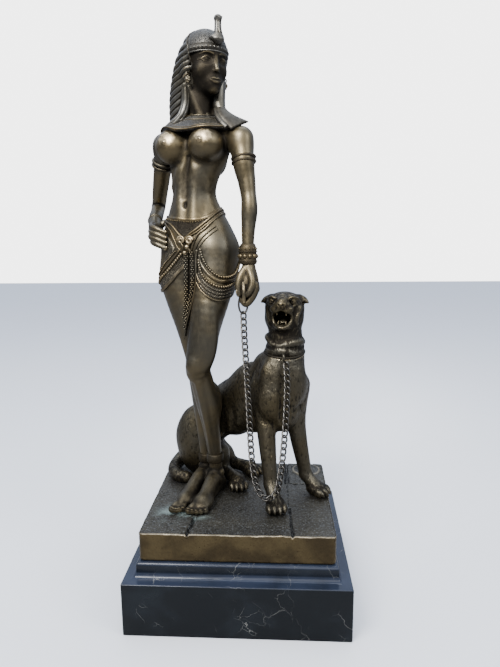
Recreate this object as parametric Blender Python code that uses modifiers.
"""Bronze statuette of an Egyptian queen with a panther on a chain, on a stone plinth.

Every piece is its own object: the stone plinth, the cast ground slab, the queen, the panther,
the ring in the queen's hand and each link of the chain. Units are metres, +Z is up, the origin
is the centre of the plinth's underside and the queen and panther look towards -Y.

The queen, the panther and the chain's route are one sculpted group. Their pose is written in
millimetres of the group's own model, 309 mm from the soles to the top of the cobra, and is scaled
by GROUP_HEIGHT. Model X and Y are measured from the plinth's centre and Z from the slab's top.
"""

import math

import bmesh
import bpy
import numpy as np
from mathutils import Matrix, Vector

# Driving dimensions
PLINTH_WIDTH = 0.140
PLINTH_DEPTH = 0.127
PLINTH_BLOCK_HEIGHT = 0.0345
PLINTH_EDGE_BEVEL = 0.0006
STEP_HEIGHT = 0.0094
STEP_COVE = 0.0030
STEP_SHOULDER = 0.0022
STEP_MARGIN = 0.0015

SLAB_WIDTH = 0.1214
SLAB_DEPTH = 0.1070
SLAB_THICKNESS = 0.0180
SLAB_CORNER_ROUND = 0.0030
JOINT_WIDTH = 0.0014
JOINT_DEPTH = 0.0012
BOSS_RADIUS = 0.0110
BOSS_HEIGHT = 0.0006

SEAT_GAP = 0.0003
GROUP_HEIGHT = 0.309

LINK_COUNT = 54
LINK_WIRE = 0.0010
LINK_CLEARANCE = 0.00035
LINK_WIDTH = 0.0043
LINK_TWIST_DEG = 50.0
RING_WIRE = 0.0012
RING_WIDTH = 0.0072
RING_LENGTH = 0.0125
RING_TURN_DEG = 40.0

# Fineness of the cast surfaces, in model millimetres, and how many triangles each keeps
CAST_VOXEL = 0.85
QUEEN_FACES = 3500
PANTHER_FACES = 1750

MODEL_HEIGHT = 309.0
SLAB_TOP = PLINTH_BLOCK_HEIGHT + STEP_HEIGHT + SEAT_GAP + SLAB_THICKNESS
UNIT = GROUP_HEIGHT / MODEL_HEIGHT
BODY_YAW = -19.0
HEAD_YAW = 40.0
PANTHER_YAW = 62.0
PANTHER_HEAD_YAW = -14.0

STONE = ((0.018, 0.024, 0.030), 0.22, 0.0)
BRONZE = ((0.105, 0.080, 0.050), 0.42, 0.9)
BRIGHT_BRONZE = ((0.30, 0.19, 0.075), 0.38, 0.95)
DARK_STEEL = ((0.075, 0.068, 0.060), 0.38, 0.9)


def clear_scene():
    """Remove whatever the file already holds."""
    for obj in list(bpy.data.objects):
        bpy.data.objects.remove(obj, do_unlink=True)


def collection(name):
    """A new collection linked to the scene."""
    made = bpy.data.collections.new(name)
    bpy.context.scene.collection.children.link(made)
    return made


def material(name, look):
    """A Principled material from (colour, roughness, metallic)."""
    colour, roughness, metallic = look
    made = bpy.data.materials.new(name)
    made.use_nodes = True
    shader = made.node_tree.nodes["Principled BSDF"]
    shader.inputs["Base Color"].default_value = (*colour, 1.0)
    shader.inputs["Roughness"].default_value = roughness
    shader.inputs["Metallic"].default_value = metallic
    return made


def add_object(name, data, where, finish):
    """Link an object for mesh or curve data and give it its material."""
    obj = bpy.data.objects.new(name, data)
    where.objects.link(obj)
    if finish is not None:
        data.materials.append(finish)
    return obj


def mesh_object(name, bm, where, finish):
    """Turn a bmesh into an object and free it."""
    mesh = bpy.data.meshes.new(name)
    bm.to_mesh(mesh)
    bm.free()
    return add_object(name, mesh, where, finish)


def add_cutter(name, bm, where):
    """An object that only cuts others."""
    obj = mesh_object(name, bm, where, None)
    obj.hide_render = True
    obj.display_type = "WIRE"
    return obj


def cut(obj, cutter):
    """Take the cutter away from the object."""
    modifier = obj.modifiers.new("cut_" + cutter.name, "BOOLEAN")
    modifier.operation = "DIFFERENCE"
    modifier.object = cutter


def block(bm, centre, size):
    """A box of that full size."""
    matrix = Matrix.Translation(Vector(centre)) @ Matrix.Diagonal((*size, 1.0))
    return bmesh.ops.create_cube(bm, size=1.0, matrix=matrix)["verts"]


def top_face(bm):
    """The highest face that looks up."""
    return max(bm.faces, key=lambda face: face.calc_center_median().z)


def step_up(bm, face, inward, upward):
    """Raise a face: its edge goes in by inward and up by upward."""
    bmesh.ops.inset_region(bm, faces=[face], thickness=inward, use_even_offset=True)
    for vert in face.verts:
        vert.co.z += upward


# Stone plinth


def make_plinth(where, finish):
    """A block with a moulded step on top: a cove, an upright band and a rounded shoulder."""
    bm = bmesh.new()
    body = PLINTH_BLOCK_HEIGHT - PLINTH_EDGE_BEVEL
    block(bm, (0, 0, body / 2), (PLINTH_WIDTH, PLINTH_DEPTH, body))
    face = top_face(bm)
    step_up(bm, face, PLINTH_EDGE_BEVEL, PLINTH_EDGE_BEVEL)
    ledge = (PLINTH_WIDTH - SLAB_WIDTH) / 2 - STEP_MARGIN - STEP_COVE - PLINTH_EDGE_BEVEL
    step_up(bm, face, ledge, 0.0)
    turns = 3
    quarter = [math.pi / 2 * i / turns for i in range(turns + 1)]
    for low, high in zip(quarter, quarter[1:]):
        step_up(bm, face, STEP_COVE * (math.sin(high) - math.sin(low)),
                STEP_COVE * (math.cos(low) - math.cos(high)))
    step_up(bm, face, 0.00005, STEP_HEIGHT - STEP_COVE - STEP_SHOULDER)
    for low, high in zip(quarter, quarter[1:]):
        step_up(bm, face, STEP_SHOULDER * (math.cos(low) - math.cos(high)),
                STEP_SHOULDER * (math.sin(high) - math.sin(low)))
    return mesh_object("marble_plinth", bm, where, finish)


# Cast ground slab


def paving_joints(bm):
    """The joints of the paving: upright bars that cut grooves into the slab's top."""
    half_depth = SLAB_DEPTH / 2
    right = SLAB_WIDTH * 0.27
    left = -SLAB_WIDTH * 0.245
    middle = SLAB_DEPTH * 0.16
    runs = [
        ((right, -half_depth * 1.1), (right, middle)),
        ((right, middle), (right, half_depth * 1.1)),
        ((left, -half_depth * 1.1), (left, -half_depth * 0.80)),
        ((right, middle), (SLAB_WIDTH * 0.6, middle)),
        ((-SLAB_WIDTH * 0.6, middle * 1.9), (right, middle * 1.9)),
    ]
    for start, end in runs:
        (x0, y0), (x1, y1) = start, end
        size = (max(abs(x1 - x0), JOINT_WIDTH), max(abs(y1 - y0), JOINT_WIDTH), JOINT_DEPTH * 2)
        block(bm, ((x0 + x1) / 2, (y0 + y1) / 2, SLAB_TOP), size)


def make_slab(where, cutters, finish):
    """A flat cast block, rounded at its corners, with paving joints and a round boss."""
    bm = bmesh.new()
    middle = SLAB_TOP - SLAB_THICKNESS / 2
    block(bm, (0, 0, middle), (SLAB_WIDTH, SLAB_DEPTH, SLAB_THICKNESS))
    uprights = [e for e in bm.edges if abs(e.verts[0].co.z - e.verts[1].co.z) > SLAB_THICKNESS / 2]
    bmesh.ops.bevel(bm, geom=uprights, offset=SLAB_CORNER_ROUND, segments=3, profile=0.5,
                    affect="EDGES")
    slab = mesh_object("bronze_slab", bm, where, finish)

    grooves = bmesh.new()
    paving_joints(grooves)
    joined = add_cutter("paving_joints", grooves, cutters)
    modifier = slab.modifiers.new("joints", "BOOLEAN")
    modifier.operation = "DIFFERENCE"
    modifier.object = joined
    modifier.use_self = True

    boss = bmesh.new()
    centre = Vector((SLAB_WIDTH * 0.385, SLAB_DEPTH * 0.385, SLAB_TOP))
    bmesh.ops.create_cone(boss, cap_ends=True, segments=20, radius1=BOSS_RADIUS,
                          radius2=BOSS_RADIUS, depth=BOSS_HEIGHT * 2,
                          matrix=Matrix.Translation(centre))
    disc = add_cutter("round_boss", boss, cutters)
    modifier = slab.modifiers.new("boss", "BOOLEAN")
    modifier.operation = "UNION"
    modifier.object = disc
    return slab


# Clay forms that the castings are built up from, in model millimetres


def facing(yaw, pitch=0.0):
    """A turn whose local -Y looks along yaw, in degrees, and tips up by pitch."""
    return Matrix.Rotation(math.radians(yaw), 4, "Z") @ Matrix.Rotation(math.radians(-pitch), 4, "X")


def press(bm, form, matrix):
    """Add a copy of a ready mesh to the clay, placed by a matrix."""
    copy = form.copy()
    copy.transform(matrix)
    bm.from_mesh(copy)
    bpy.data.meshes.remove(copy)


def ready_ball():
    """A ball of radius one, made once and copied from then on."""
    ball = bpy.data.meshes.get("ready_ball")
    if ball is None:
        bm = bmesh.new()
        bmesh.ops.create_uvsphere(bm, u_segments=16, v_segments=10, radius=1.0)
        ball = bpy.data.meshes.new("ready_ball")
        bm.to_mesh(ball)
        bm.free()
    return ball


def egg(bm, centre, radii, yaw=0.0, pitch=0.0, roll=0.0):
    """An ellipsoid with radii across, along its facing and upright."""
    matrix = Matrix.Translation(Vector(centre)) @ facing(yaw, pitch)
    matrix = matrix @ Matrix.Rotation(math.radians(roll), 4, "Y") @ Matrix.Diagonal((*radii, 1.0))
    press(bm, ready_ball(), matrix)


def limb(bm, stations):
    """Round stretches between stations (x, y, z, radius), with a ball at each."""
    for x, y, z, radius in stations:
        egg(bm, (x, y, z), (radius, radius, radius))
    for (*start, low), (*end, high) in zip(stations, stations[1:]):
        start, end = Vector(start), Vector(end)
        along = end - start
        turn = along.to_track_quat("Z", "Y").to_matrix().to_4x4()
        stretch = bmesh.new()
        bmesh.ops.create_cone(stretch, cap_ends=True, segments=14, radius1=low, radius2=high,
                              depth=along.length)
        form = bpy.data.meshes.new("stretch")
        stretch.to_mesh(form)
        stretch.free()
        press(bm, form, Matrix.Translation((start + end) / 2) @ turn)
        bpy.data.meshes.remove(form)


def loft(bm, sections, yaw):
    """A closed skin over level ellipses (x, y, z, half width, half depth), turned by yaw."""
    sides = 24
    angles = [2 * math.pi * i / sides for i in range(sides)]
    turn = facing(yaw).to_3x3()
    rings = []
    for x, y, z, across, deep in sections:
        points = [turn @ Vector((across * math.cos(a), deep * math.sin(a), 0)) for a in angles]
        rings.append([bm.verts.new(Vector((x, y, z)) + p) for p in points])
    for low, high in zip(rings, rings[1:]):
        for i in range(sides):
            j = (i + 1) % sides
            bm.faces.new((low[i], low[j], high[j], high[i]))
    bm.faces.new(list(reversed(rings[0])))
    bm.faces.new(rings[-1])


def hoop(bm, centre, radius, thickness, yaw=0.0, pitch=0.0, steps=16):
    """A round band about a limb."""
    turn = (facing(yaw, pitch)).to_3x3()
    points = []
    for i in range(steps + 1):
        angle = 2 * math.pi * i / steps
        flat = turn @ Vector((radius * math.cos(angle), radius * math.sin(angle), 0))
        points.append((*(Vector(centre) + flat), thickness))
    limb(bm, points)


def cast(name, bm, faces, where, cutters, finish):
    """Fuse the clay forms into one skin, smooth the joins, thin it out and cut the sole flat."""
    bmesh.ops.scale(bm, vec=(UNIT, UNIT, UNIT), verts=bm.verts)
    bmesh.ops.translate(bm, vec=(0, 0, SLAB_TOP + SEAT_GAP), verts=bm.verts)
    obj = mesh_object(name, bm, where, finish)
    skin = obj.modifiers.new("skin", "REMESH")
    skin.mode = "VOXEL"
    skin.voxel_size = CAST_VOXEL * UNIT
    skin.adaptivity = 0.0
    soften = obj.modifiers.new("soften", "SMOOTH")
    soften.factor = 0.5
    soften.iterations = 4
    graph = bpy.context.evaluated_depsgraph_get()
    dense = bpy.data.meshes.new_from_object(obj.evaluated_get(graph))
    triangles = sum(len(polygon.vertices) - 2 for polygon in dense.polygons)
    obj.modifiers.clear()
    obj.data = dense
    thin = obj.modifiers.new("thin", "DECIMATE")
    thin.ratio = faces / triangles
    cut(obj, cutters["ground"])
    return obj


def ground_cutter(where):
    """The space below the soles."""
    bm = bmesh.new()
    depth = SLAB_THICKNESS
    block(bm, (0, 0, SLAB_TOP + SEAT_GAP - depth / 2), (SLAB_WIDTH * 2, SLAB_DEPTH * 2, depth))
    return add_cutter("ground", bm, where)


# The queen


def queen_torso(bm):
    """Trunk, bust, seat and shoulders."""
    loft(bm, [
        (-28, 10, 156, 17, 12), (-28, 10, 165, 23.5, 16), (-28, 10, 175, 25.5, 17.5),
        (-28.5, 9.5, 185, 23.5, 16), (-29.5, 9, 196, 18.5, 13), (-30, 8.5, 206, 15, 11),
        (-29.2, 8.5, 216, 16.2, 12), (-27, 9, 226, 19.5, 14), (-26, 9, 236, 21.5, 13.5),
        (-25.2, 8.5, 243, 19, 10.5), (-25, 8, 249, 10, 8.5),
    ], BODY_YAW)
    limb(bm, [(-50, 17, 240, 6.5), (-36, 11.5, 245.5, 6.0), (-25, 8, 248, 7.0),
              (-12, 3.5, 246, 6.0), (2, -2, 240.5, 6.5)])
    egg(bm, (-20, -4.2, 236), (11.2, 11.2, 11.2))
    egg(bm, (-42.6, 4.0, 236), (11.2, 11.2, 11.2))
    egg(bm, (-14.5, 15, 168), (14, 14, 15), BODY_YAW)
    egg(bm, (-33, 21.5, 168), (14, 13, 15), BODY_YAW)


LEFT_LEG = [
    (-17, 4, 168, 15.5), (-17.5, 1, 153, 14.6), (-19, -2, 141, 13), (-23, -5, 120, 10.3),
    (-28, -8, 94, 8.2), (-26.4, -5, 85, 7.6), (-22.8, 0, 66, 7.9), (-21.2, 2.5, 48, 6.0),
    (-19.4, 4, 28, 4.7), (-18.5, 5, 17, 4.6),
]
RIGHT_LEG = [
    (-39, 13, 168, 15), (-41.5, 12, 153, 14), (-38.5, 10, 137, 12.5), (-34.5, 8, 120, 10.5),
    (-31.5, 7, 102, 8.3), (-30.5, 7, 93, 7.6), (-28.5, 11.5, 68, 7.3), (-28, 13, 48, 5.6),
    (-27, 14, 26, 4.5), (-26.8, 14.5, 17, 4.4),
]


def queen_legs(bm):
    """Both legs, close together, the left one in front, and their anklets."""
    limb(bm, LEFT_LEG)
    limb(bm, RIGHT_LEG)
    hoop(bm, (-19.2, 4.2, 25.5), 4.6, 1.9)
    hoop(bm, (-26.9, 14.2, 20.0), 4.2, 1.7)


def on_leg(leg, yaw, level, lift=0.0):
    """The point of a leg's skin that faces yaw at a level, lifted off by lift."""
    stations = sorted(leg, key=lambda station: station[2])
    heights = [station[2] for station in stations]
    x, y, radius = [float(np.interp(level, heights, [station[i] for station in stations]))
                    for i in (0, 1, 3)]
    turn = math.radians(yaw)
    reach = radius + lift
    return (x + reach * math.sin(turn), y - reach * math.cos(turn), level)


def strand(bm, leg, marks, thickness):
    """A cord laid on a leg through (yaw, level) marks."""
    limb(bm, [(*on_leg(leg, yaw, level, thickness * 0.25), thickness) for yaw, level in marks])


def queen_foot(bm, heel, ball, half_width, reach):
    """A bare foot from heel to ball, with five toes that reach that far beyond."""
    heel, ball = Vector(heel), Vector(ball)
    along = (ball - heel).normalized()
    side = Vector((-along.y, along.x, 0))
    yaw = math.degrees(math.atan2(along.x, -along.y))
    instep = heel.lerp(ball, 0.34)
    limb(bm, [(*heel, 4.8), (instep.x, instep.y, 11.5, 5.2), (ball.x, ball.y, 4.6, 4.2)])
    limb(bm, [(*heel, 4.8), (*ball, 4.6)])
    egg(bm, (ball.x, ball.y, 4.0), (half_width, 10.0, 4.4), yaw)
    toes = 5
    for i in range(toes):
        share = 2 * i / (toes - 1) - 1
        tip = ball + along * (reach - 1.4 * share - 1.6 * share * share)
        tip = tip + side * share * half_width * 0.76
        limb(bm, [(*ball.lerp(tip, 0.35), 2.6), (tip.x, tip.y, 2.2, 2.0)])


def queen_arms(bm):
    """The left arm hangs with the ring in its fist, the right one rests on the hip."""
    limb(bm, [
        (2.6, -2.5, 239, 7.0), (3.6, -4.5, 225, 6.5), (5.4, -6, 213, 5.6), (6.9, -7.5, 200, 4.6),
        (6.8, -8.5, 191, 4.8), (6.2, -10, 179, 4.1), (6.0, -11.5, 164, 3.4),
    ])
    limb(bm, [
        (-50.5, 17.5, 239, 6.8), (-53.5, 24, 228, 6.2), (-58.8, 36, 211, 5.4),
        (-61.8, 44, 202, 4.9), (-61, 33, 195, 4.7), (-59, 21, 187, 3.7),
    ])
    hoop(bm, (3.7, -4.4, 225.5), 6.2, 1.7)
    hoop(bm, (-53.6, 24.3, 228), 5.9, 1.7)
    for level in (161.5, 165.0, 168.5, 172.0):
        hoop(bm, (6.1, -11.3, level), 3.8, 2.0)


def left_hand(bm):
    """A fist that holds the ring, thumb towards the front."""
    egg(bm, (6.6, -12.5, 153), (5.0, 4.2, 8.0))
    for i in range(4):
        y = -17.0 + 2.9 * i
        limb(bm, [(8.6, y, 149, 2.1), (8.4, y, 143, 2.0), (5.6, y, 139.5, 1.9), (2.6, y, 142.5, 1.8)])
    limb(bm, [(4.2, -14, 159, 2.4), (0.6, -16.5, 151, 2.1), (1.6, -17.6, 144, 1.9)])


def right_hand(bm):
    """The palm lies on the hip and the fingers point forward."""
    egg(bm, (-57.2, 15.5, 181), (3.4, 7.0, 6.2), BODY_YAW)
    for i in range(4):
        z = 184.5 - 3.4 * i
        limb(bm, [(-58.6, 10.5, z, 2.2), (-56.0, 4.2, z - 2.2, 2.0), (-50.2, 0.4, z - 5.2, 1.8)])
    limb(bm, [(-56, 18, 184, 2.2), (-50, 18, 186, 2.0)])


def queen_head(bm):
    """Neck, face, cap, wig and cobra."""
    limb(bm, [(-25, 7.5, 243, 8.2), (-24.2, 5.5, 256, 7.0), (-23.6, 4.5, 268, 7.0)])
    egg(bm, (-22.0, 3.2, 288), (11.0, 13.2, 14.0), HEAD_YAW)
    egg(bm, (-19.8, 0.6, 277), (9.2, 10.6, 12.0), HEAD_YAW, -10)
    front = facing(HEAD_YAW).to_3x3()
    middle = Vector((-22.0, 3.2, 0))

    def on_face(across, ahead, level):
        return middle + front @ Vector((across, -ahead, 0)) + Vector((0, 0, level))

    limb(bm, [(*on_face(0, 12.2, 268.2), 2.8), (*on_face(0, 8.8, 268.5), 4.8)])
    limb(bm, [(*on_face(0, 13.4, 284.5), 1.3), (*on_face(0, 15.4, 277.6), 1.7)])
    egg(bm, on_face(0, 13.4, 272.6), (3.0, 2.0, 1.9), HEAD_YAW)
    egg(bm, (-22.4, 3.8, 291.0), (14.0, 15.6, 14.4), HEAD_YAW)
    limb(bm, [(*on_face(0, 14.6, 290.5), 3.4), (*on_face(0, 15.6, 296), 2.4),
              (*on_face(0, 15.2, 301), 1.8), (*on_face(0, 14.2, 306), 2.3)])


def queen_wig(bm):
    """The wig behind the neck and its two lappets, which fall over the shoulders."""
    loft(bm, [
        (-27.5, 14, 242, 17, 6.5), (-28.4, 13.5, 252, 17, 7.5), (-28.2, 12.5, 264, 15.8, 9.5),
        (-26.5, 10.5, 276, 15.5, 12), (-24, 8, 290, 15.2, 12.5), (-23, 6, 300, 9.5, 9),
    ], (BODY_YAW + HEAD_YAW) / 2)
    limb(bm, [(-34, 5.5, 282, 4.0), (-37, 6.5, 270, 4.2), (-39.5, 7.0, 258, 4.2),
              (-43, 6.5, 250, 3.8), (-48, 8.5, 246, 3.2)])
    limb(bm, [(-10, 7.0, 291, 4.6), (-11.8, 6.0, 283, 4.0), (-12.4, 6.0, 270, 3.8),
              (-12.4, 3.5, 258, 4.0), (-8, -0.5, 249.5, 3.6), (-1, -3.5, 245.5, 3.2)])


def queen_dress(bm):
    """Broad collar, belt, knot, apron and the swags on the thighs."""
    collar = [(-50, 10, 243), (-43, 2.5, 242.5), (-34, -2.5, 243), (-26, -5.0, 244),
              (-17, -6.0, 244.5), (-8, -6.5, 243.5), (0, -7.0, 243.5)]
    for inner in (0.0, 0.45):
        middle = Vector((-25, 7, 249))
        limb(bm, [(*Vector(point).lerp(middle, inner), 2.4) for point in collar])
    belt = [(-53.5, 14, 188), (-48, 1.5, 181), (-41, -5.0, 177), (-33.5, -8.5, 175),
            (-25, -10.5, 179), (-15, -9.5, 186), (-8, -2.5, 191), (-5, 8, 190)]
    limb(bm, [(*point, 1.9) for point in belt])
    limb(bm, [(-53, 12, 190, 1.2), (-43, -2.0, 190, 1.3), (-34, -5.5, 189.5, 1.5),
              (-23, -6.5, 190.5, 1.3), (-10, -2.5, 195, 1.2)])
    egg(bm, (-33.5, -12.0, 174.5), (5.2, 3.4, 4.4), BODY_YAW)
    limb(bm, [(-32.5, -12.5, 171, 3.4), (-32.4, -13.6, 158, 3.6), (-33, -13.6, 140, 3.0),
              (-34.4, -13.6, 120, 2.0)])
    for drop, thickness in ((0.0, 2.0), (-5.0, 2.0), (-11.0, 1.6)):
        marks = [(-38, 170), (-28, 157), (-8, 148), (18, 145), (45, 148), (72, 155), (100, 162)]
        strand(bm, LEFT_LEG, [(yaw, level + drop) for yaw, level in marks], thickness)
    for drop, thickness in ((0.0, 2.0), (-9.0, 1.8)):
        marks = [(24, 166), (-5, 158), (-35, 151), (-62, 146), (-95, 144)]
        strand(bm, RIGHT_LEG, [(yaw, level + drop) for yaw, level in marks], thickness)


def make_queen(where, cutters, finish):
    """The whole figure, cast as one with her wig, jewels and dress."""
    bm = bmesh.new()
    queen_torso(bm)
    queen_legs(bm)
    queen_foot(bm, (-17.6, 9.0, 4.8), (-25.0, -19.0, 4.2), 7.4, 9.5)
    queen_foot(bm, (-25.6, 18.0, 4.8), (-38.8, -14.0, 4.2), 6.2, 10.5)
    queen_arms(bm)
    left_hand(bm)
    right_hand(bm)
    queen_head(bm)
    queen_wig(bm)
    queen_dress(bm)
    queen = cast("queen", bm, QUEEN_FACES, where, cutters, finish)
    cut(queen, cutters["ring_way"])
    return queen


# The panther


def panther_body(bm):
    """Trunk from rump to chest, neck and collar."""
    limb(bm, [
        (-36, 39, 30, 16.0), (-14, 32, 52, 17.0), (9, 20, 70, 18.0), (25, 8, 78, 18.0),
    ])
    egg(bm, (-37, 37, 26), (15, 16, 27), PANTHER_YAW)
    egg(bm, (-10, 28, 56), (15, 20, 25), PANTHER_YAW)
    egg(bm, (8, 19, 65), (16, 20, 26), PANTHER_YAW)
    egg(bm, (28, 3, 70), (17.5, 14, 24), 45)
    egg(bm, (18, 9, 87), (10, 12, 14), 45)
    limb(bm, [(28, 4, 88, 15.5), (29.8, 4, 102, 13.2), (30, 4, 112, 12.0), (29.5, 4, 122, 11.0)])
    hoop(bm, (29.8, 3.6, 106), 12.6, 1.7, PANTHER_HEAD_YAW, 12)
    limb(bm, [(29.8, -10.0, 103.5, 1.2), (29.8, -11.4, 101.8, 1.2)])


def panther_front_leg(bm, shoulder, elbow, wrist, paw, yaw):
    """A straight foreleg with its shoulder and paw."""
    limb(bm, [(*shoulder, 10.5), (*elbow, 6.6), (*wrist, 4.4)])
    panther_paw(bm, wrist, paw, yaw)


def panther_paw(bm, wrist, paw, yaw):
    """A paw with four toes."""
    limb(bm, [(*wrist, 4.4), (paw[0], paw[1], 5.4, 4.6)])
    egg(bm, (paw[0], paw[1], 4.2), (6.6, 7.6, 5.0), yaw)
    ahead = Vector((math.sin(math.radians(yaw)), -math.cos(math.radians(yaw)), 0))
    side = Vector((-ahead.y, ahead.x, 0))
    for share in (-1.0, -0.36, 0.36, 1.0):
        toe = Vector((paw[0], paw[1], 3.4)) + side * share * 5.0 + ahead * (6.4 - 2.0 * share**2)
        egg(bm, toe, (2.3, 4.0, 3.0), yaw)


def panther_hind_leg(bm, haunch, knee, heel, paw, yaw):
    """A folded hind leg: haunch, knee, heel and paw."""
    limb(bm, [(*haunch, 14.5), (*knee, 8.5)])
    limb(bm, [(*knee, 8.0), (*heel, 4.6)])
    panther_paw(bm, heel, paw, yaw)


def panther_head(bm):
    """A roaring head: skull, muzzle, lower jaw and round ears."""
    yaw, tip = PANTHER_HEAD_YAW, 14.0
    egg(bm, (29.6, 3.5, 131.5), (13.2, 13.0, 11.5), yaw, tip)
    egg(bm, (28.9, 2.0, 124.5), (12.4, 11.5, 9.0), yaw)
    egg(bm, (27.4, -8.0, 134.2), (6.8, 7.0, 4.8), yaw, tip)
    egg(bm, (27.6, -6.0, 119.8), (5.6, 7.0, 3.0), yaw, -8)
    egg(bm, (17.6, 6.0, 137.6), (3.4, 2.2, 3.4), yaw)
    egg(bm, (43.0, 8.0, 137.4), (3.4, 2.2, 3.4), yaw)


def panther_tail(bm):
    """The tail leaves the rump and lies curled on the slab."""
    limb(bm, [(-46, 48, 12, 5.6), (-52.5, 43, 6, 5.2), (-54.5, 34, 4.8, 5.0), (-53.0, 25, 4.6, 4.9),
              (-48.5, 18.5, 4.4, 4.7), (-42, 16.5, 4.0, 4.2)])


def mouth_cutter(where):
    """The hollow of the open mouth."""
    bm = bmesh.new()
    egg(bm, (27.2, -11.0, 127.6), (6.4, 9.5, 5.8), PANTHER_HEAD_YAW, 0)
    bmesh.ops.scale(bm, vec=(UNIT, UNIT, UNIT), verts=bm.verts)
    bmesh.ops.translate(bm, vec=(0, 0, SLAB_TOP + SEAT_GAP), verts=bm.verts)
    return add_cutter("mouth", bm, where)


def make_panther(where, cutters, finish):
    """The sitting panther with its collar."""
    bm = bmesh.new()
    panther_body(bm)
    panther_head(bm)
    panther_front_leg(bm, (15.5, 4, 76), (17.4, -4.5, 46), (20.3, -13, 14), (23.6, -22, 0), 8)
    panther_front_leg(bm, (37.5, 10, 74), (38.6, 6, 44), (44.8, 6.0, 13), (52.0, 1.5, 0), 58)
    panther_hind_leg(bm, (-35, 37, 24), (-20, 27, 19), (-15, 25, 6.5), (-3.6, 9.5, 0), 10)
    panther_hind_leg(bm, (-30, 42, 20), (-18, 42, 12), (-10, 41, 5.5), (4, 33, 0), 50)
    panther_tail(bm)
    panther = cast("panther", bm, PANTHER_FACES, where, cutters, finish)
    cut(panther, cutters["mouth"])
    return panther


# Ring and chain


def place(point):
    """A model point in metres, in the statue's own frame."""
    x, y, z = point
    return Vector((x * UNIT, y * UNIT, z * UNIT + SLAB_TOP + SEAT_GAP))


def ring_points(steps):
    """An upright oval seen from the front, whose top lies in the queen's fist."""
    centre = place((2.9, -12.2, 0)) + Vector((0, 0, 142.5 * UNIT - RING_LENGTH / 2))
    turn = math.radians(RING_TURN_DEG)
    points = []
    for i in range(steps):
        angle = 2 * math.pi * i / steps
        across = RING_WIDTH / 2 * math.cos(angle)
        points.append(centre + Vector((across * math.cos(turn), across * math.sin(turn),
                                       RING_LENGTH / 2 * math.sin(angle))))
    return points


def wire_loop(name, points, wire, sides_level, where, finish):
    """A closed wire through the points."""
    curve = bpy.data.curves.new(name, "CURVE")
    curve.dimensions = "3D"
    spline = curve.splines.new("POLY")
    spline.points.add(len(points) - 1)
    for target, point in zip(spline.points, points):
        target.co = (*point, 1.0)
    spline.use_cyclic_u = True
    curve.bevel_depth = wire / 2
    curve.bevel_resolution = sides_level
    return add_object(name, curve, where, finish)


def make_ring(where, finish):
    """The ring that hangs from the queen's fist."""
    return wire_loop("hand_ring", ring_points(20), RING_WIRE, 1, where, finish)


def ring_way_cutter(where):
    """The way that the fist leaves for the ring."""
    curve = wire_loop("ring_way_wire", ring_points(20), RING_WIRE + 2 * SEAT_GAP, 1, where, None)
    graph = bpy.context.evaluated_depsgraph_get()
    mesh = bpy.data.meshes.new_from_object(curve.evaluated_get(graph))
    bpy.data.objects.remove(curve, do_unlink=True)
    cutter = bpy.data.objects.new("ring_way", mesh)
    where.objects.link(cutter)
    cutter.hide_render = True
    cutter.display_type = "WIRE"
    return cutter


def chain_route():
    """The chain's line from the ring down to the paw and up to the panther's collar."""
    hand = place((2.9, -12.2, 142.5)) - Vector((0, 0, RING_LENGTH - RING_WIRE / 2))
    below = [(3.4, -13.0, 116), (4.6, -14.2, 96), (5.8, -15.6, 74), (6.8, -17.6, 54),
             (8.0, -20.6, 36), (10.4, -25.0, 21), (14.4, -28.2, 13.2), (19.8, -29.0, 11.6),
             (24.4, -27.4, 16.5), (27.0, -24.0, 27), (28.8, -20.6, 42), (30.0, -18.2, 58),
             (30.8, -16.6, 74), (31.0, -15.2, 88), (30.2, -14.0, 98)]
    return [hand, *[place(point) for point in below]]


def smooth_run(points, steps):
    """Points along a Catmull-Rom curve through the given points."""
    ends = [points[0] * 2 - points[1], *points, points[-1] * 2 - points[-2]]
    run = []
    for a, b, c, d in zip(ends, ends[1:], ends[2:], ends[3:]):
        for i in range(steps):
            t = i / steps
            run.append(0.5 * (2 * b + (c - a) * t + (2 * a - 5 * b + 4 * c - d) * t * t
                              + (3 * b - 3 * c + d - a) * t * t * t))
    run.append(points[-1])
    return run


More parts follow.
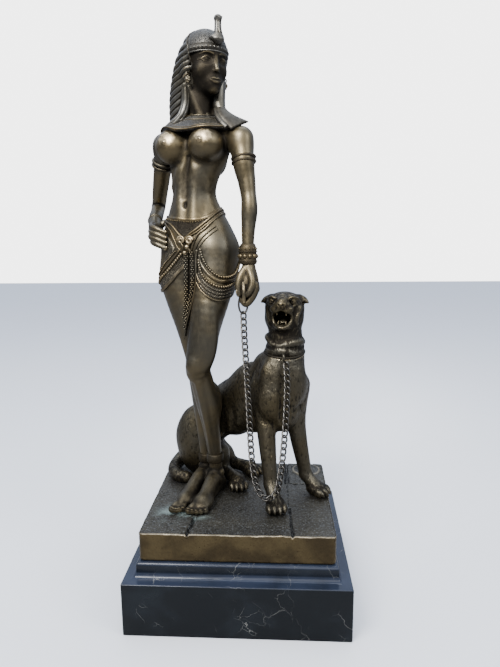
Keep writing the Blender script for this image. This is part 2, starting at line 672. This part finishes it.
def even_stations(run, count):
    """Middles of count equal lengths of a run, each as (point, direction), and that length."""
    path = np.array([tuple(point) for point in run])
    steps = np.linalg.norm(np.diff(path, axis=0), axis=1)
    travelled = np.concatenate([[0.0], np.cumsum(steps)])
    pitch = travelled[-1] / count

    def at(distance):
        return Vector([np.interp(distance, travelled, path[:, axis]) for axis in range(3)])

    stations = []
    for i in range(count):
        middle = pitch * (i + 0.5)
        direction = (at(middle + pitch / 2) - at(middle - pitch / 2)).normalized()
        stations.append((at(middle), direction))
    return stations, pitch


def squared(value):
    """A cosine or sine pushed outward, so that an oval gets straighter sides."""
    return math.copysign(abs(value) ** 0.65, value)


def link_points(station, pitch, steps=10):
    """One curb link: a straight-sided oval whose two ends are twisted either way."""
    middle, along = station
    half_length = (pitch + LINK_WIRE + LINK_CLEARANCE) / 2
    half_width = (LINK_WIDTH - LINK_WIRE) / 2
    side = along.cross(Vector((0, -1, 0))).normalized()
    front = side.cross(along).normalized()
    points = []
    for i in range(steps):
        angle = 2 * math.pi * (i + 0.5) / steps
        reach = half_length * squared(math.cos(angle))
        width = half_width * squared(math.sin(angle))
        twist = math.radians(LINK_TWIST_DEG) * reach / half_length
        points.append(middle + along * reach
                      + side * width * math.cos(twist) + front * width * math.sin(twist))
    return points


def make_chain(where, finish):
    """Separate links, each through the next, at even spacing along the route."""
    stations, pitch = even_stations(smooth_run(chain_route(), 8), LINK_COUNT)
    for number, station in enumerate(stations, start=1):
        wire_loop(f"chain_link_{number:02d}", link_points(station, pitch), LINK_WIRE, 0, where,
                  finish)


def main():
    """Build every piece."""
    clear_scene()
    statue = collection("queen_with_panther")
    tools = collection("cutters")
    stone = material("marble", STONE)
    bronze = material("bronze", BRONZE)
    bright = material("bright_bronze", BRIGHT_BRONZE)
    steel = material("chain_metal", DARK_STEEL)
    cutters = {"ground": ground_cutter(tools), "mouth": mouth_cutter(tools),
               "ring_way": ring_way_cutter(tools)}
    make_plinth(statue, stone)
    make_slab(statue, tools, bright)
    make_queen(statue, cutters, bronze)
    make_panther(statue, cutters, bronze)
    make_ring(statue, steel)
    make_chain(statue, steel)


main()
